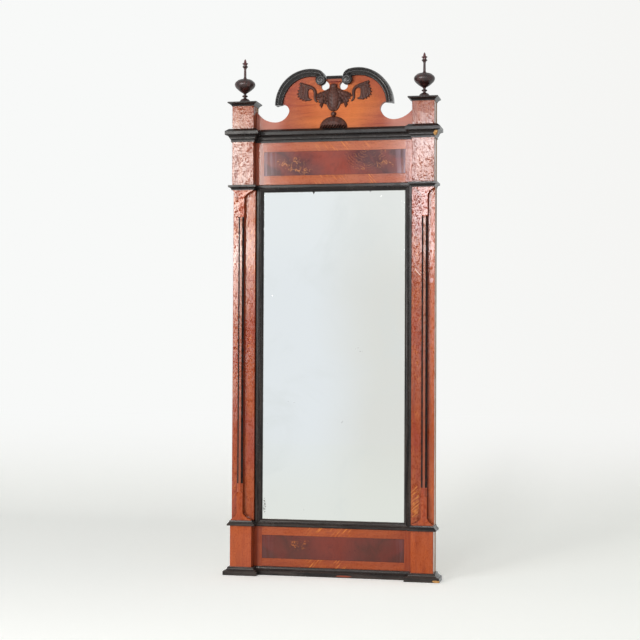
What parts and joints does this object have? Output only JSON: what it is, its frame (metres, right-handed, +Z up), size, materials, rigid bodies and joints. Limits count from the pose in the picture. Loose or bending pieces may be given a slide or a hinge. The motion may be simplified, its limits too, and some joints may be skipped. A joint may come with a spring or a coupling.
{
  "type": "pier mirror",
  "caption": "Tall pier mirror: flat plate in a frame with pilasters, break-front plinth and cornice, arched crest with scrolls and carved relief, turned finials and rear ring hangers.",
  "frame": {"origin": "middle of the bottom rail's underside, at floor level and half way through the carcass's thickness", "axes": "+X to the right seen from the front, +Y towards the wall behind, +Z up"},
  "size_m": [0.759, 0.0988, 1.8105],
  "materials": {
    "veneer": "red-brown figured veneer, shellac polished, worn semi-gloss",
    "burr_veneer": "dark purplish-brown burr veneer, polished",
    "ebonised": "black stained and polished, semi-gloss",
    "dark_carving": "dark brown stained carving, satin",
    "softwood": "bare aged softwood, matt",
    "silvered_glass": "flat silvered plate, slightly aged",
    "iron": "dark iron, dull"
  },
  "bodies": {
    "frame": {"back_board_lower": "softwood", "back_board_middle": "softwood", "back_board_upper": "softwood", "back_nails": "iron", "base_banding": "veneer", "base_panel": "burr_veneer", "bottom_rail": "softwood", "cap_left": "ebonised", "cap_right": "ebonised", "carved_foot": "dark_carving", "carved_spray_left": "dark_carving", "carved_spray_right": "dark_carving", "carved_urn": "dark_carving", "cornice_centre": "ebonised", "cornice_left": "ebonised", "cornice_right": "ebonised", "crest_arch_left": "ebonised", "crest_arch_right": "ebonised", "crest_bar": "ebonised", "crest_board": "veneer", "crest_dowels": "softwood", "finial_left": "ebonised", "finial_right": "ebonised", "frieze_banding": "veneer", "frieze_block_left": "veneer", "frieze_block_right": "veneer", "frieze_panel": "burr_veneer", "glass_moulding_bottom": "ebonised", "glass_moulding_left": "ebonised", "glass_moulding_right": "ebonised", "glass_moulding_top": "ebonised", "glass_wedges": "softwood", "ground_board_left": "veneer", "ground_board_right": "veneer", "hanger_plate_left": "iron", "hanger_plate_right": "iron", "hanger_screws": "iron", "lower_band_left": "ebonised", "lower_band_right": "ebonised", "mirror_glass": "silvered_glass", "neck_band_left": "ebonised", "neck_band_right": "ebonised", "pedestal_block_left": "veneer", "pedestal_block_right": "veneer", "pilaster_strip_left": "veneer", "pilaster_strip_right": "veneer", "plinth_block_left": "veneer", "plinth_block_right": "veneer", "plinth_moulding_centre": "ebonised", "plinth_moulding_left": "ebonised", "plinth_moulding_right": "ebonised", "stile_left": "softwood", "stile_right": "softwood", "top_rail": "softwood"},
    "ring_left": {"hanger_ring_left": "iron"},
    "ring_right": {"hanger_ring_right": "iron"}
  },
  "joints": [
    {"name": "ring_left_swing", "type": "hinge", "parent": "frame", "child": "ring_left", "pos_m": [-0.3185, 0.0173, 1.60004], "axis": [1, 0, 0], "range_deg": [0, 180]},
    {"name": "ring_right_swing", "type": "hinge", "parent": "frame", "child": "ring_right", "pos_m": [0.3185, 0.0173, 1.60004], "axis": [1, 0, 0], "range_deg": [0, 180]}
  ]
}
